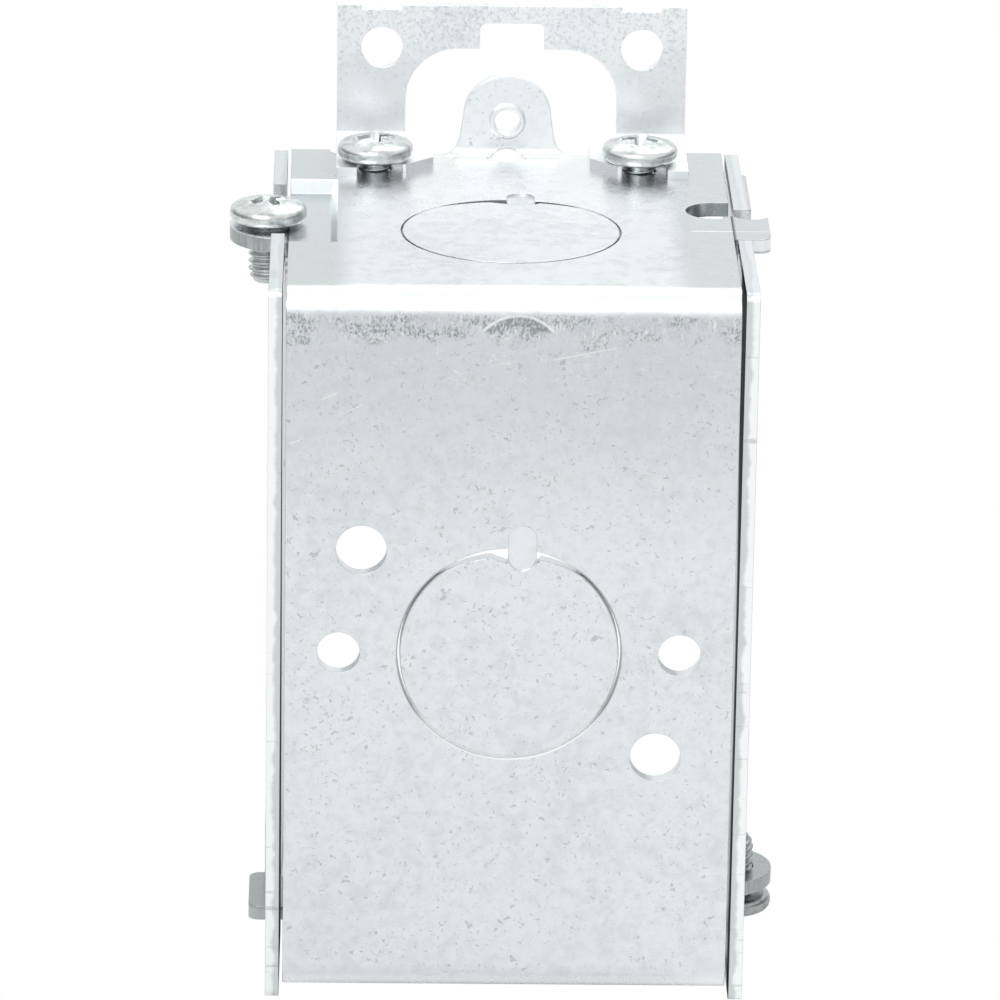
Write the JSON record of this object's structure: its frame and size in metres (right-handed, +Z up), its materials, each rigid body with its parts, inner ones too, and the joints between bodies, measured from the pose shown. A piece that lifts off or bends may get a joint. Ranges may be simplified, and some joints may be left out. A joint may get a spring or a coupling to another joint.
{
  "type": "switch box",
  "caption": "Single gangable sheet-steel switch box with removable side plates, plaster ears, knockouts and gang screws.",
  "frame": {"origin": "midway between the two device screw holes, on the front face of their tabs", "axes": "+X across the box, to the right when it is seen from behind; +Y from the back towards the open front; +Z up"},
  "size_m": [0.0582, 0.0539, 0.107],
  "materials": {
    "galvanised_sheet": "satin pregalvanised sheet",
    "ear_sheet": "mottled galvanised sheet",
    "zinc_screw": "bright zinc plate"
  },
  "bodies": {
    "box": {"body": "galvanised_sheet"},
    "top_ear_bracket": {"top_ear": "ear_sheet"},
    "bottom_ear_bracket": {"bottom_ear": "ear_sheet"},
    "left_side": {"left_side_plate": "galvanised_sheet"},
    "right_side": {"right_side_plate": "galvanised_sheet"},
    "top_left_fixing": {"top_left_ear_screw": "zinc_screw"},
    "top_right_fixing": {"top_right_ear_screw": "zinc_screw"},
    "bottom_left_fixing": {"bottom_left_ear_screw": "zinc_screw"},
    "bottom_right_fixing": {"bottom_right_ear_screw": "zinc_screw"},
    "left_gang_fixing": {"left_side_screw": "zinc_screw"},
    "right_gang_fixing": {"right_side_screw": "zinc_screw"}
  },
  "joints": [
    {"name": "top_ear_slide", "type": "slide", "parent": "box", "child": "top_ear_bracket", "axis": [0, 1, 0], "range_m": [-0.0012, 0.0025]},
    {"name": "bottom_ear_slide", "type": "slide", "parent": "box", "child": "bottom_ear_bracket", "axis": [0, 1, 0], "range_m": [-0.0012, 0.0025]},
    {"name": "left_side_removal", "type": "slide", "parent": "box", "child": "left_side", "axis": [-1, 0, 0], "range_m": [0, 0.012]},
    {"name": "right_side_removal", "type": "slide", "parent": "box", "child": "right_side", "axis": [1, 0, 0], "range_m": [0, 0.012]},
    {"name": "top_left_ear_screw_turn", "type": "hinge", "parent": "box", "child": "top_left_fixing", "pos_m": [-0.014, -0.00675, 0.0379], "axis": [0, 0, 1], "range_deg": [0, 720]},
    {"name": "top_right_ear_screw_turn", "type": "hinge", "parent": "box", "child": "top_right_fixing", "pos_m": [0.014, -0.00675, 0.0379], "axis": [0, 0, 1], "range_deg": [0, 720]},
    {"name": "bottom_left_ear_screw_turn", "type": "hinge", "parent": "box", "child": "bottom_left_fixing", "pos_m": [-0.014, -0.00675, -0.0379], "axis": [0, 0, -1], "range_deg": [0, 720]},
    {"name": "bottom_right_ear_screw_turn", "type": "hinge", "parent": "box", "child": "bottom_right_fixing", "pos_m": [0.014, -0.00675, -0.0379], "axis": [0, 0, -1], "range_deg": [0, 720]},
    {"name": "left_side_screw_turn", "type": "hinge", "parent": "box", "child": "left_gang_fixing", "pos_m": [-0.0251, -0.0225, 0.0379], "axis": [0, 0, 1], "range_deg": [0, 720]},
    {"name": "right_side_screw_turn", "type": "hinge", "parent": "box", "child": "right_gang_fixing", "pos_m": [0.0251, -0.0225, -0.0379], "axis": [0, 0, -1], "range_deg": [0, 720]}
  ]
}
